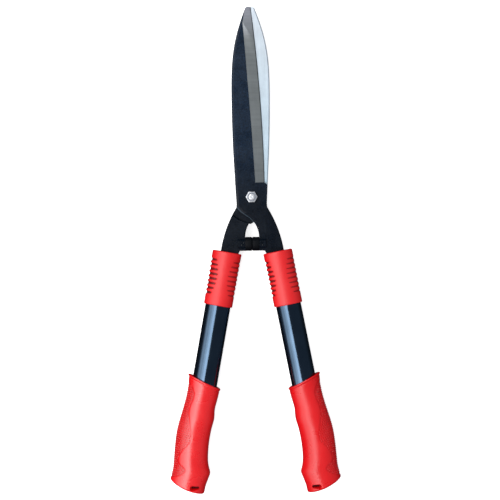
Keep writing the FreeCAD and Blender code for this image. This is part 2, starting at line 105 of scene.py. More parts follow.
def ring_faces(rings, count, first=0, close=False):
    """Quads between rings of count points each, and back to the first ring if close."""
    faces = []
    for i in range(rings if close else rings - 1):
        a, b = first + i * count, first + ((i + 1) % rings) * count
        for j in range(count):
            k = (j + 1) % count
            faces.append((a + j, a + k, b + k, b + j))
    return faces


@contextlib.contextmanager
def edited(mesh):
    """The mesh as a bmesh, which is written back afterwards."""
    work = bmesh.new()
    work.from_mesh(mesh)
    yield work
    work.to_mesh(mesh)
    work.free()


def link(obj):
    bpy.context.scene.collection.objects.link(obj)
    return obj


def new_object(name, verts, faces, smooth=True):
    mesh = bpy.data.meshes.new(name)
    mesh.from_pydata([tuple(v) for v in verts], [], faces)
    mesh.validate()
    with edited(mesh) as work:
        bmesh.ops.recalc_face_normals(work, faces=work.faces)
        for f in work.faces:
            f.smooth = smooth
    return link(bpy.data.objects.new(name, mesh))


def apply_modifiers(obj):
    """Replaces the object's mesh by what its modifiers make of it."""
    depsgraph = bpy.context.evaluated_depsgraph_get()
    made = bpy.data.meshes.new_from_object(obj.evaluated_get(depsgraph))
    obj.modifiers.clear()
    obj.data = made


def cut(obj, cutter):
    """Cuts cutter out of obj for good."""
    bpy.context.view_layer.update()
    mod = obj.modifiers.new("cut", "BOOLEAN")
    mod.operation = "DIFFERENCE"
    mod.solver = "EXACT"
    mod.object = cutter
    apply_modifiers(obj)
    bpy.data.objects.remove(cutter)


def sharpen(obj, degrees):
    """Smooth shading, with hard edges where faces meet at more than this angle."""
    with edited(obj.data) as work:
        for f in work.faces:
            f.smooth = True
        for e in work.edges:
            e.smooth = len(e.link_faces) == 2 and e.calc_face_angle(0.0) < math.radians(degrees)


def angles(count):
    """count even angles round a ring."""
    return np.linspace(0, 2 * math.pi, count, endpoint=False)


def ellipse_ring(half, u, count):
    t = angles(count)
    return np.stack([np.full(count, float(u)), half[0] * np.cos(t), half[1] * np.sin(t)], -1)


def larger(half, by):
    return (half[0] + by, half[1] + by)


def fan(count, first, centre):
    """Triangles from a ring of count points, the first one given, to a centre point."""
    return [(centre, first + j, first + (j + 1) % count) for j in range(count)]


def own_frame(vector_m, side):
    """Row-frame metres to millimetres in a half's own pivot frame."""
    return (np.array(vector_m) - PIVOT_M) / MM * (side, 1, side)


# ---- materials

BLACK, WHITE = (0, 0, 0), (1, 1, 1)


def colour(r, g, b):
    return (r, g, b, 1.0)


class Graph:
    """A node tree in the making. Where a value is asked for, it is an output socket or a constant."""

    def __init__(self, tree):
        self.nodes, self.links = tree.nodes, tree.links

    def put(self, value, socket):
        if isinstance(value, bpy.types.NodeSocket):
            self.links.new(value, socket)
        else:
            socket.default_value = value

    def node(self, kind, **settings):
        """A new node. A setting that starts with in_ is an input's constant, others are properties."""
        made = self.nodes.new(kind)
        for key, value in settings.items():
            if key.startswith("in_"):
                made.inputs[key[3:].replace("_", " ")].default_value = value
            else:
                setattr(made, key, value)
        return made

    def place(self, stretch=(1, 1, 1)):
        """Object coordinates in metres, which are the row frame's, each times its stretch."""
        coords = self.node("ShaderNodeTexCoord")
        mapping = self.node("ShaderNodeMapping", in_Scale=stretch)
        self.links.new(coords.outputs["Object"], mapping.inputs["Vector"])
        return mapping.outputs["Vector"]

    def split(self, vector):
        """The vector's x, y and z."""
        made = self.node("ShaderNodeSeparateXYZ")
        self.links.new(vector, made.inputs["Vector"])
        return made.outputs["X"], made.outputs["Y"], made.outputs["Z"]

    def math(self, operation, *values):
        made = self.node("ShaderNodeMath", operation=operation)
        for value, socket in zip(values, made.inputs):
            self.put(value, socket)
        return made.outputs[0]

    def noise(self, vector, scale, detail=4.0, rough=0.55):
        made = self.node("ShaderNodeTexNoise", in_Scale=scale, in_Detail=detail, in_Roughness=rough)
        self.links.new(vector, made.inputs["Vector"])
        return made.outputs["Fac"]

    def slope(self, value, lo, hi, first=0.0):
        """first where value is at most lo, rising to 1 at hi."""
        made = self.node("ShaderNodeMapRange", in_From_Min=lo, in_From_Max=hi, in_To_Min=first)
        self.links.new(value, made.inputs["Value"])
        return made.outputs["Result"]

    def ramp(self, value, *stops):
        """The colour at value among stops of (position, rgb)."""
        made = self.node("ShaderNodeValToRGB")
        elements = made.color_ramp.elements
        while len(elements) < len(stops):
            elements.new(0.5)
        for element, (position, rgb) in zip(elements, stops):
            element.position = position
            element.color = colour(*rgb)
        self.links.new(value, made.inputs["Fac"])
        return made.outputs["Color"]

    def grey(self, value, lo, hi, at=(0.35, 0.65)):
        return self.ramp(value, (at[0], (lo, lo, lo)), (at[1], (hi, hi, hi)))

    def window(self, value, rise, fall):
        """1 between two slopes, each (start, end) in millimetres of a value in metres, and 0 outside."""
        lo, hi = rise[0] - 0.5, fall[1] + 0.5
        corners = zip(rise + fall, (BLACK, WHITE, WHITE, BLACK))
        return self.ramp(self.slope(value, lo * MM, hi * MM),
                         *[((at - lo) / (hi - lo), rgb) for at, rgb in corners])

    def mix(self, factor, a, b, blend="MIX"):
        made = self.node("ShaderNodeMix", data_type="RGBA", blend_type=blend)
        for value, index in ((factor, 0), (a, 6), (b, 7)):      # the colour form's sockets
            self.put(value, made.inputs[index])
        return made.outputs[2]

    def times(self, a, b):
        return self.mix(1.0, a, b, "MULTIPLY")

    def bump(self, height, distance, strength, onto=None):
        made = self.node("ShaderNodeBump", in_Strength=strength, in_Distance=distance)
        self.links.new(height, made.inputs["Height"])
        if onto is not None:
            self.links.new(onto, made.inputs["Normal"])
        return made.outputs["Normal"]


class Look(Graph):
    """A new material in the making."""

    def __init__(self, name):
        self.material = bpy.data.materials.new(name)
        self.material.use_nodes = True
        super().__init__(self.material.node_tree)

    def shade(self, **values):
        """Gives the shader these values, by socket name with _ for a space, and returns the material."""
        shader = self.nodes["Principled BSDF"]
        for name, value in values.items():
            self.put(value, shader.inputs[name.replace("_", " ")])
        return self.material


def seam_highlight(look, x, y, z):
    """A thin painted highlight low on the chamfer where the front half's edge crosses the rear arm: a
    lighter line standing in for light caught on the seam.
    """
    height = look.math("SUBTRACT", z, float(PIVOT_M[2]))
    slant = look.math("MULTIPLY_ADD", x, 0.75, y)
    beside = look.math("SUBTRACT", slant, float(PIVOT_M[1]))
    low = look.window(height, (2.5, 2.7), (3.05, 3.3))
    near = look.window(beside, (-29.6, -29.0), (-24.5, -23.5))
    return look.times(low, near)


def coated_steel(name, specular, rough):
    """Blue-black baked coating: mottled, with a faint hammered grain, and a painted highlight along the
    seam chamfer.
    It is greyer along the blades than on the arms."""
    look = Look(name)
    place = look.place()
    x, y, z = look.split(place)
    cloudy = look.noise(place, 55, 5, 0.6)
    speckle = look.noise(place, 900, 3, 0.7)
    arms = look.ramp(cloudy, (0.3, (0.0014, 0.0036, 0.0076)), (0.7, (0.0030, 0.0060, 0.0118)))
    blades = look.ramp(cloudy, (0.3, (0.0050, 0.0125, 0.0270)), (0.7, (0.0088, 0.0190, 0.0375)))
    base = look.mix(look.slope(y, 0.045, 0.12), arms, blades)
    tinted = look.times(base, look.grey(speckle, 0.55, 1.6, (0.4, 0.66)))
    scratch = look.noise(look.place((900, 25, 900)), 1.0, 2, 0.5)
    scratched = look.mix(look.grey(scratch, 0.0, 0.4, (0.66, 0.78)), tinted, colour(0.02, 0.029, 0.038))
    # Painted highlight: a lighter line along the seam chamfer.
    seam_lit = look.mix(seam_highlight(look, x, y, z), scratched, colour(0.032, 0.048, 0.066))
    grain = look.bump(speckle, 0.00004, 0.5)
    return look.shade(Base_Color=seam_lit, Roughness=look.grey(cloudy, rough, rough + 0.12),
                      Specular_IOR_Level=specular, Normal=look.bump(cloudy, 0.0002, 0.3, grain))


def rubbed_edge():
    """Eased edges, where the coating is rubbed through to bare steel in patches."""
    look = Look("rubbed_edge")
    place = look.place()
    patch = look.noise(place, 130, 5, 0.65)
    fine = look.noise(place, 1600, 3, 0.6)
    bare = look.ramp(patch, (0.47, BLACK), (0.60, WHITE))
    steel = look.ramp(fine, (0.35, (0.09, 0.10, 0.11)), (0.65, (0.20, 0.215, 0.23)))
    return look.shade(Base_Color=look.mix(bare, colour(0.006, 0.011, 0.018), steel), Metallic=bare,
                      Roughness=look.grey(fine, 0.34, 0.5), Specular_IOR_Level=0.3,
                      Normal=look.bump(fine, 0.00003, 0.5))


def edge_shade_band(look, z):
    """Painted shade within about a millimetre of a cutting edge, by how thin the blade is there: a darker
    band standing in for the shadow along the edge.
    """
    thin = look.math("ABSOLUTE", look.math("SUBTRACT", z, float(PIVOT_M[2])))
    return look.slope(thin, 0.00086, 0.00100, 0.30)


def ground_steel(name, dark, light, stretch, metallic, tip, tip_y, edge_shaded=False):
    """Bare steel with fine grinding lines, drawn by how noise is stretched. Its colour drifts to tip
    times itself over tip_y, in metres. A bevel may get painted shade in a band along its cutting edge."""
    look = Look(name)
    fine = look.noise(look.place(stretch), 1.0, 3, 0.65)
    broad = look.noise(look.place(tuple(v * 0.16 for v in stretch)), 1.0, 2, 0.5)
    place = look.place()
    cloudy = look.noise(place, 42, 4, 0.55)
    _x, y, z = look.split(place)
    lined = look.mix(fine, colour(*dark), colour(*light))
    stained = look.times(lined, look.grey(broad, 0.93, 1.03))
    clouded = look.times(stained, look.grey(cloudy, 0.9, 1.04))
    drift = look.mix(look.slope(y, *tip_y), colour(1, 1, 1), colour(*tip))
    base = look.times(clouded, drift)
    # Painted shade: darkens the bevel in a band along its cutting edge.
    if edge_shaded:
        base = look.times(base, edge_shade_band(look, z))
    return look.shade(Base_Color=base, Roughness=look.grey(fine, 0.33, 0.46), Metallic=metallic,
                      Normal=look.bump(fine, 0.00003, 0.5))


def plated(name, tint, rough):
    """Plated steel, blotched and finely grained."""
    look = Look(name)
    place = look.place()
    blotch = look.noise(place, 300, 4, 0.6)
    fine = look.noise(place, 2600, 3, 0.6)
    dull = tuple(0.84 * v for v in tint)
    return look.shade(Base_Color=look.ramp(blotch, (0.32, dull), (0.62, tint)), Metallic=0.5,
                      Roughness=look.grey(fine, rough, rough + 0.09), Normal=look.bump(fine, 0.000008, 0.4))


def painted_tube():
    """Gloss blue-black metallic paint with a little orange peel and handling scratches."""
    look = Look("tube_paint")
    place = look.place()
    flake = look.noise(place, 2400, 2, 0.5)
    cloudy = look.noise(place, 36, 3, 0.5)
    base = look.ramp(cloudy, (0.3, (0.078, 0.124, 0.184)), (0.7, (0.100, 0.154, 0.224)))
    streak = look.noise(look.place((520, 30, 520)), 1.0, 3, 0.6)
    peel = look.noise(place, 260, 2, 0.5)
    return look.shade(Base_Color=look.times(base, look.grey(flake, 0.965, 1.04)), Metallic=1.0,
                      Roughness=look.grey(streak, 0.11, 0.17, (0.45, 0.72)),
                      Normal=look.bump(peel, 0.00005, 0.3))


def red_vinyl(name, red, rough, specular, pores, pore_depth, ior=1.5):
    """Moulded red vinyl: slight colour drift, fine grain, duller where it is handled, and painted shade
    by the amount that the mesh marks on each of its vertices."""
    look = Look(name)
    place = look.place()
    cloudy = look.noise(place, 30, 4, 0.55)
    pore = look.noise(place, pores, 3, 0.6)
    base = look.ramp(cloudy, (0.3, (red[0], 0.0028, 0.0054)), (0.7, (red[1], 0.0042, 0.0074)))
    speckled = look.times(base, look.grey(pore, 0.93, 1.03))
    # Painted shade: the mesh's marks mix in a dark red.
    recess_shade = look.node("ShaderNodeAttribute", attribute_name="recess_shade").outputs["Fac"]
    grain = look.bump(pore, pore_depth, 0.7)
    return look.shade(Base_Color=look.mix(recess_shade, speckled, colour(0.16, 0.0008, 0.0022)),
                      Roughness=look.grey(cloudy, rough - 0.03, rough + 0.06),
                      Specular_IOR_Level=specular, IOR=ior, Normal=look.bump(cloudy, 0.0004, 0.25, grain))


def moulded(name, dark, light, rough, pores=700, specular=0.5):
    """Plain moulded rubber or plastic with a fine mould texture."""
    look = Look(name)
    place = look.place()
    cloudy = look.noise(place, 80, 4, 0.6)
    pore = look.noise(place, pores, 3, 0.6)
    return look.shade(Base_Color=look.ramp(cloudy, (0.3, dark), (0.7, light)),
                      Roughness=look.grey(pore, rough - 0.06, rough + 0.08),
                      Specular_IOR_Level=specular, Normal=look.bump(pore, 0.00008, 0.6))


COATED = coated_steel("coated_steel", 0.16, 0.24)
COATED_ARM = coated_steel("coated_steel_arm", 0.08, 0.34)
# The bevel's grinding lines run across the blade, and the polished face's along it.
# The bevel gets painted shade along its cutting edge.
BEVEL = ground_steel("ground_bevel", (0.46, 0.49, 0.485), (0.60, 0.635, 0.63), (22.0, 1700.0, 60.0), 0.84,
                     (1.62, 1.54, 1.70), (0.248, 0.283), edge_shaded=True)
POLISHED = ground_steel("polished_face", (0.57, 0.73, 0.85), (0.67, 0.83, 0.92), (1700.0, 22.0, 60.0), 0.58,
                        (1.18, 1.04, 1.0), (0.10, 0.26))
RUBBED = rubbed_edge()
ZINC = plated("bright_zinc", (0.93, 0.95, 0.99), 0.2)
DARK_PIN = plated("blackened_pin", (0.016, 0.019, 0.023), 0.34)
PAINT = painted_tube()
# The photographed grips shine unequally: the left one is brighter, with a much stronger highlight. Their
# reds are lit and shaded copies: the left one's red is painted brighter as painted light, the right one's
# darker as painted shade.
RED_GRIP = {1: red_vinyl("red_grip_vinyl_painted_shade", (0.68, 0.75), 0.28, 0.64, 1500, 0.00005),
            -1: red_vinyl("red_grip_vinyl_painted_light", (0.79, 0.86), 0.27, 0.94, 1500, 0.00005, 1.58)}
RED_COLLAR = red_vinyl("red_collar_vinyl", (0.72, 0.79), 0.40, 0.72, 1800, 0.00003)
RUBBER = moulded("bumper_rubber", (0.0018, 0.0026, 0.0040), (0.0034, 0.0046, 0.0066), 0.46, specular=0.1)
NYLON = moulded("insert_nylon", (0.15, 0.17, 0.21), (0.23, 0.25, 0.30), 0.42, 1100)
PLASTIC = moulded("black_plastic", (0.012, 0.012, 0.013), (0.022, 0.022, 0.024), 0.45)


def dress(obj, *materials):
    """Gives obj these materials and no others."""
    obj.data.materials.clear()
    for m in materials:
        obj.data.materials.append(m)
    return obj


def finish_piece(obj, body, slot, *replaced):
    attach(obj, body)
    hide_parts(*replaced)
    return obj


# ---- blades

BEVEL_START_Y = 17.0
POLISH_START_Y = 13.6
ARM_START_Y = -20.0
WELD_M = 0.000004
EASE_M = 0.00016
# The blade's materials, in the order of its slots.
COAT, GROUND, POLISH, ARM, EASED = range(5)
# The photographed blades lean a little to the right of the handles' middle line.
BLADE_LEAN = 0.0055
# How far the edge over the hole below the pivot is drawn down, as (x, down), in each half's own frame.
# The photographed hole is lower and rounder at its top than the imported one.
APEX_DOWN = {1: [(-1.97, 0), (-1.04, 0.35), (-0.57, 0.6), (0, 0.9), (1.04, 1.15), (1.82, 1.0), (2.48, 0.55),
                 (3.27, 0.1)],
             -1: [(-5.48, 0), (-4.3, 1.6), (-3.5, 3.2), (-2.7, 3.8), (-1.97, 4.1), (-1.04, 4.3),
                  (-0.57, 4.25), (0, 4.1), (1.04, 3.5), (1.82, 2.9), (2.48, 1.8), (3.27, 0.4)]}
APEX_SPAN = (-5.6, 3.4)
APEX_REACH = 0.6


def packed_apex_y(x):
    """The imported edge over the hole, closely enough to pick out its vertices."""
    return -26.76 - 1.019 * x - 0.0494 * x * x


def lower_apex(work, side):
    down = np.array(APEX_DOWN[side])
    for v in work.verts:
        x, y, z = own_frame(v.co, side)
        on_edge = APEX_SPAN[0] < x < APEX_SPAN[1] and abs(y - packed_apex_y(x)) < APEX_REACH
        if on_edge and z > -0.1:
            v.co.y -= float(np.interp(x, down[:, 0], down[:, 1])) * MM


def in_boss(place):
    """Whether a point is on the round boss that holds a bumper, whose fine facets are kept."""
    return abs(place[0]) < 16.6 and -62.5 < place[1] < -47.5


def crease(obj):
    """Smooth shading that stays crisp where two broad faces meet, however flat the angle."""
    sharp, sharp_if_broad, broad_m2 = math.radians(26), math.radians(3), 12 * MM * MM
    with edited(obj.data) as work:
        for f in work.faces:
            f.smooth = not in_boss(own_frame(f.calc_center_median(), 1))
        for e in work.edges:
            angle = e.calc_face_angle(0.0)
            broad = min(f.calc_area() for f in e.link_faces) > broad_m2
            e.smooth = angle < sharp and not (broad and angle > sharp_if_broad)


def packed_copy(node_name):
    """A copy of a CAD node as a piece of its own."""
    source = frame["nodes"][node_name]
    obj = source.copy()
    obj.data = source.data.copy()
    obj.name = obj.data.name = node_name + "_dressed"
    for key in list(obj.keys()):
        del obj[key]
    obj.parent = None
    return link(obj)


def merge_flats(obj, side):
    """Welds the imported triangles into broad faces, split where the polish starts, and lowers the apex."""
    with edited(obj.data) as work:
        bmesh.ops.remove_doubles(work, verts=work.verts, dist=WELD_M)
        lower_apex(work, side)
        plain = {v for v in work.verts if not in_boss(own_frame(v.co, 1))}
        bmesh.ops.dissolve_limit(work, angle_limit=math.radians(0.4), verts=list(plain),
                                 edges=[e for e in work.edges if plain.issuperset(e.verts)])
        bmesh.ops.bisect_plane(work, geom=work.verts[:] + work.edges[:] + work.faces[:],
                               plane_co=to_row((0, POLISH_START_Y, 0), side), plane_no=(0, 1, 0),
                               dist=0.000001)
    if "custom_normal" in obj.data.attributes:
        obj.data.attributes.remove(obj.data.attributes["custom_normal"])


def ease_edges(obj):
    """Rounds the edges slightly, and marks the rounded faces EASED."""
    mod = obj.modifiers.new("ease", "BEVEL")
    mod.width = EASE_M
    mod.segments = 2
    mod.limit_method = "ANGLE"
    mod.angle_limit = math.radians(24)
    mod.miter_outer = "MITER_ARC"
    mod.use_clamp_overlap = True
    mod.material = EASED
    for _ in range(EASED + 1 - len(obj.data.materials)):
        obj.data.materials.append(COATED)
    apply_modifiers(obj)


def face_look(face, eased, side):
    """Which of the blade's materials a face takes, by where it lies and which way it looks."""
    x, y, z = place = own_frame(face.center, side)
    across, _along, out = np.array(face.normal) * (side, 1, side)
    if y > BEVEL_START_Y - 0.05 and out > 0.5 and across > 0.12 and z < OUTER_Z - 0.01:
        return GROUND
    inner_face = y > POLISH_START_Y and out < -0.9 and z < 0.6
    cutting_edge = y > BEVEL_START_Y and x > -2 and abs(out) < 0.5 and across > 0.5
    spine_chamfer = y > POLISH_START_Y and x < -1 and out < -0.3 and z < 1.0
    if inner_face or cutting_edge or spine_chamfer:
        return POLISH
    if in_boss(place):
        return COAT
    if eased:
        return EASED
    return ARM if y < ARM_START_Y and abs(out) < 0.99 else COAT


def blade_piece(node_name, body, side):
    """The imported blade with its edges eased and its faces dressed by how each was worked."""
    obj = packed_copy(node_name)
    merge_flats(obj, side)
    ease_edges(obj)
    all_eased = [face.material_index == EASED for face in obj.data.polygons]
    dress(obj, COATED, BEVEL, POLISHED, COATED_ARM, RUBBED)
    for face, eased in zip(obj.data.polygons, all_eased):
        face.material_index = face_look(face, eased, side)
    for v in obj.data.vertices:
        v.co.x += BLADE_LEAN * max(0.0, v.co.y - PIVOT_M[1] - POLISH_START_Y * MM)
    crease(obj)
    weighted = obj.modifiers.new("flats stay flat", "WEIGHTED_NORMAL")
    weighted.mode = "FACE_AREA"
    weighted.weight = 100
    weighted.keep_sharp = True
    apply_modifiers(obj)
    return finish_piece(obj, body, "coated_blade_steel", node_name)


blade_piece("front_blade", FRONT, 1)
blade_piece("rear_blade", REAR, -1)


# ---- tubes

TUBE_COUNT = 128
TUBE_ROWS = 24
# u and half width and depth along the swaged end, from the neck to the full tube.
TUBE_NECK_END = [(2.2, TUBE_NECK), (54.5, TUBE_NECK), (56.0, larger(TUBE_NECK, 0.35)),
                 (58.5, larger(TUBE, -0.35)), (60.0, TUBE)]
TUBE_END_U = 266.0
TANG_PIN_U = (17.0, 41.0)
TANG_PIN_HOLE = 2.55


def rod_through(u, radius, half_length, side):
    """A cutter along Z through a handle's centre line."""
    count = 48
    t = angles(count)
    rings = []
    for z in (-half_length, half_length):
        rings.append(np.stack([u + radius * np.cos(t), radius * np.sin(t), np.full(count, z)], -1))
    faces = ring_faces(2, count) + [tuple(range(count - 1, -1, -1)), tuple(range(count, 2 * count))]
    return new_object("cutter", from_handle(np.concatenate(rings), side), faces)


def tube_piece(name, body, side):
    neck_end = TUBE_NECK_END[-1][0]
    outside = list(TUBE_NECK_END)
    for i in range(1, TUBE_ROWS + 1):
        outside.append((neck_end + (TUBE_END_U - neck_end) * i / TUBE_ROWS, TUBE))
    inside = [(u, larger(half, -TUBE_WALL)) for u, half in outside[::-1]]
    rings = [ellipse_ring(half, u, TUBE_COUNT) for u, half in outside + inside]
    verts = from_handle(np.concatenate(rings), side)
    obj = new_object(name + "_tube_painted", verts, ring_faces(len(rings), TUBE_COUNT, close=True))
    for u in TANG_PIN_U:
        cut(obj, rod_through(u, TANG_PIN_HOLE, 20.0, side))
    sharpen(obj, 40)
    dress(obj, PAINT)
    return finish_piece(obj, body, "painted_tube", name + "_tube")


# ---- collars

COLLAR_COUNT = 240
COLLAR_ROWS = 176
COLLAR_TOP_ROUND = 1.7
COLLAR_BOTTOM_ROUND = 1.2
COLLAR_LIP = 2.0
# The opening in the collar's mouth that the tang goes through.
TANG_OPENING_W = (-13.95, 8.05)
TANG_OPENING_HALF_Z = OUTER_Z + 0.45
GROOVES = 8
GROOVE_FIRST_U = 11.2
GROOVE_PITCH = 5.57
# Where the middle grooves stop, by collar (1 right, -1 left) and by the sign of w, as photographed.
GROOVE_END_W = {(1, 1): 4.9, (1, -1): 9.4, (-1, 1): 6.4, (-1, -1): 5.8}
GROOVE_END_RISE = 3.8
# The photographed grooves notch the outline on each collar's left and hardly at all on its right.
GROOVE_DEPTH_LEFT, GROOVE_DEPTH_RIGHT = 0.95, 0.5
# How strongly painted shade darkens the grooves, on each collar's left and right.
GROOVE_SHADE_LEFT, GROOVE_SHADE_RIGHT = 1.0, 0.68
GROOVE_HALF_LEFT, GROOVE_HALF_RIGHT = 1.5, 1.15
RIB_CROWN_LEFT, RIB_CROWN_RIGHT = 0.2, 0.08


def collar_half(u):
    share = np.clip(u / COLLAR_LENGTH, 0, 1)
    return tuple(a + (b - a) * share for a, b in zip(COLLAR_TOP, COLLAR_BOTTOM))


def groove_share(u, w, a, side):
    """How deep the side grooves cut at (u, w), 0 to 1 of their depth, on an oval of half width a."""
    centre = GROOVE_FIRST_U + GROOVE_PITCH * (GROOVES - 1) / 2
    share = np.zeros_like(w)
    first_stop = np.where(w > 0, GROOVE_END_W[side, 1], GROOVE_END_W[side, -1])
    widest = np.where(w * side > 0, GROOVE_HALF_RIGHT, GROOVE_HALF_LEFT)
    for i in range(GROOVES):
        middle = GROOVE_FIRST_U + GROOVE_PITCH * i
        off = (middle - centre) / (GROOVE_FIRST_U - centre)
        stop = first_stop + GROOVE_END_RISE * off ** 2
        reach = np.clip((np.abs(w) - stop) / (a - stop), 0, 1)
        half = widest * (0.45 + 0.55 * np.sqrt(reach))
        wall = 1 - smoothstep(half - 0.32, half + 0.28, np.abs(u - middle))
        share = np.maximum(share, wall * smoothstep(-0.9, 1.6, np.abs(w) - stop))
    return share


def rib_share(u, w, a):
    """The ribs between grooves stand a little round: 0 on a rib's middle, -1 in a groove's."""
    phase = (u - GROOVE_FIRST_U) / GROOVE_PITCH
    inside = smoothstep(-0.7, -0.2, phase) * (1 - smoothstep(GROOVES - 0.8, GROOVES - 0.3, phase))
    crown = 0.5 - 0.5 * np.cos(2 * math.pi * phase)
    return (crown - 1) * inside * smoothstep(0.5, 1.0, np.abs(w) / a)


def oval_ring(u, half, inset=0.0):
    """A ring of the collar, moved inwards by inset along its normals."""
    t = angles(COLLAR_COUNT)
    (a, b), cos, sin = half, np.cos(t), np.sin(t)
    normal = np.stack([cos / a, sin / b], -1)
    normal /= np.linalg.norm(normal, axis=1)[:, None]
    w, z = a * cos - normal[:, 0] * inset, b * sin - normal[:, 1] * inset
    return np.stack([np.full(COLLAR_COUNT, float(u)), w, z], -1)


def shrunk(ring, share):
    """A flat ring drawn in towards the centre line."""
    out = ring.copy()
    out[:, 1:] *= share
    return out


def grooved_rings(side):
    """The collar's side between its rounded ends: rings, and how much painted shade each point's groove
    gets.
    """
    first_u, last_u = COLLAR_TOP_ROUND + 0.3, COLLAR_LENGTH - COLLAR_BOTTOM_ROUND - 0.3
    rings, marks = [], []
    for u in np.linspace(first_u, last_u, COLLAR_ROWS):
        half = collar_half(u)
        w = oval_ring(u, half)[:, 1]
        share = groove_share(u, w, half[0], side)
        right = w * side > 0
        depth = share * np.where(right, GROOVE_DEPTH_RIGHT, GROOVE_DEPTH_LEFT)
        crown = rib_share(u, w, half[0]) * np.where(right, RIB_CROWN_RIGHT, RIB_CROWN_LEFT)
        rings.append(oval_ring(u, half, depth - crown))
        # Painted shade in the grooves, by how deep each point lies in one.
        dark = np.where(right, GROOVE_SHADE_RIGHT, GROOVE_SHADE_LEFT)
        marks.append(dark * smoothstep(0.25, 0.95, share))
    return rings, marks


def collar_piece(name, body, side):
    count, mouth = COLLAR_COUNT, oval_ring(0.0, collar_half(0.0))
    top = []
    for share in (0.30, 0.62, 0.86, 0.97):
        flat = shrunk(mouth, share)
        flat[:, 0] = 0.25 * share ** 6
        top.append(flat)
    for angle in np.linspace(0, math.pi / 2, 7):
        inset = COLLAR_TOP_ROUND * (1 - math.sin(angle))
        top.append(oval_ring(COLLAR_TOP_ROUND * (1 - math.cos(angle)), collar_half(0.0), inset))
    side_rings, marks = grooved_rings(side)
    bottom = []
    for angle in np.linspace(0, math.pi / 2, 6):
        u = COLLAR_LENGTH - COLLAR_BOTTOM_ROUND * (1 - math.sin(angle))
        bottom.append(oval_ring(u, COLLAR_BOTTOM, COLLAR_BOTTOM_ROUND * (1 - math.cos(angle))))
    inside = [(COLLAR_LENGTH, TUBE, 0.25), (COLLAR_LENGTH - 0.3, TUBE, 0.05), (60.0, TUBE, 0.05),
              (54.5, TUBE_NECK, 0.05), (COLLAR_LIP, TUBE_NECK, 0.05)]
    bottom += [oval_ring(u, larger(half, gap)) for u, half, gap in inside]
    bottom += [shrunk(oval_ring(COLLAR_LIP, TUBE_NECK), share) for share in (0.8, 0.5, 0.2)]

    rings = top + side_rings + bottom
    total = len(rings) * count
    points = np.concatenate(rings + [[[0.0, 0, 0], [COLLAR_LIP, 0, 0]]])
    faces = ring_faces(len(rings), count) + fan(count, 0, total) + fan(count, total - count, total + 1)
    obj = new_object(name + "_collar_ribbed", from_handle(points, side), faces)
    # Painted shade darkens the grooves on the collar's side.
    recess_shade = np.zeros(len(points))
    start = len(top) * count
    recess_shade[start:start + len(marks) * count] = np.concatenate(marks)
    mark_recess_shade(obj, recess_shade)
    corners = []
    for u in (-3.0, COLLAR_LIP + 1.5):
        for w in TANG_OPENING_W:
            corners += [(u, w, -TANG_OPENING_HALF_Z), (u, w, TANG_OPENING_HALF_Z)]
    box_faces = [(0, 1, 3, 2), (4, 6, 7, 5), (0, 4, 5, 1), (2, 3, 7, 6), (0, 2, 6, 4), (1, 5, 7, 3)]
    cut(obj, new_object("opening", from_handle(corners, side), box_faces, smooth=False))
    sharpen(obj, 38)
    dress(obj, RED_COLLAR)
    return finish_piece(obj, body, "red_collar", name + "_collar")


# ---- grips

# u, inner side w, outer side w, half depth
GRIP_SECTIONS = [(130.0, -19.6, 20.4, 15.4), (148.0, -19.3, 20.0, 15.2), (160.0, -19.0, 18.9, 15.0),
                 (172.0, -18.3, 18.8, 14.8), (185.0, -17.2, 19.7, 15.0), (197.0, -18.3, 21.1, 15.5),
                 (209.0, -17.2, 22.5, 15.9), (220.0, -16.9, 23.0, 16.1), (232.0, -17.5, 22.5, 16.0),
                 (245.0, -19.2, 21.4, 15.9), (253.0, -21.5, 20.6, 15.9), (260.0, -24.4, 20.0, 16.0),
                 (268.0, -23.2, 20.3, 16.2), (277.0, -21.7, 20.8, 16.4), (292.0, -21.6, 20.6, 16.4)]
# (u, w) along the slanted mouth and the rounded butt.
GRIP_RIM = ((149.0, 20.0), (160.6, -19.1))
GRIP_BUTT = ((276.2, 20.8), (283.1, 0.0), (285.9, -21.8))
GRIP_COUNT = 232
GRIP_ROWS = 236
MOUTH_ROUND = 1.3
BEAD = 0.75         # how far the mouth's rolled rim stands proud
BUTT_ROUND = 2.4
BORE_END_U = 267.7
HANG_SLOT = (71.0, -340.4)
SLOT_LENGTH = 11.0
SLOT_WIDTH = 4.6
# How much wider the slot is on each side, by height, from below the grip to its middle.
SLOT_FLARE = [(-24, 1.5), (-15.8, 0.8), (-14.6, 0.4), (-12.5, -0.2), (-10.5, -0.8), (-8.0, -1.15),
              (-3.0, -1.2)]
PANEL_DEPTH = 0.55
# Painted shade on the panel's sunken floor between the studs, by grip.
PANEL_SHADE = {1: 0.17, -1: 0.27}
# The edge of the textured panel, as u and w: it is scalloped, and closes in a second, lower lobe.
PANEL_EDGE = [(158.0, 20.5), (163.0, 13.0), (170.0, 9.4), (178.0, 9.8), (186.0, 12.0), (194.0, 12.0),
              (203.0, 9.4), (212.0, 6.6), (220.0, 4.2), (226.0, 4.2), (231.0, 7.2), (236.0, 11.0),
              (243.0, 14.4), (249.0, 15.6), (254.0, 13.4), (257.0, 7.6), (260.5, 4.6), (264.0, 6.2),
              (268.0, 11.0), (272.0, 20.5)]
STUD_SIDES = 8
STUD_PITCH_U, STUD_PITCH_ROUND = 2.6, 2.7
STUD_ROWS_U = (160.0, 272.0)
STUD_EDGE_GAP = 1.1
STUD_PROFILE = [(0.92, -0.25), (0.87, 0.12), (0.62, 0.40), (0.27, 0.52)]       # radius, height
STUD_TOP, STUD_ROOT = 0.56, -0.25


def circle_through(points):
    """Centre and radius of the circle through three points."""
    p = np.array(points)
    u, w, k = np.linalg.solve(np.c_[2 * p, np.ones(3)], (p * p).sum(1))
    return (u, w), math.sqrt(k + u * u + w * w)


BUTT_CENTRE, BUTT_RADIUS = circle_through(GRIP_BUTT)


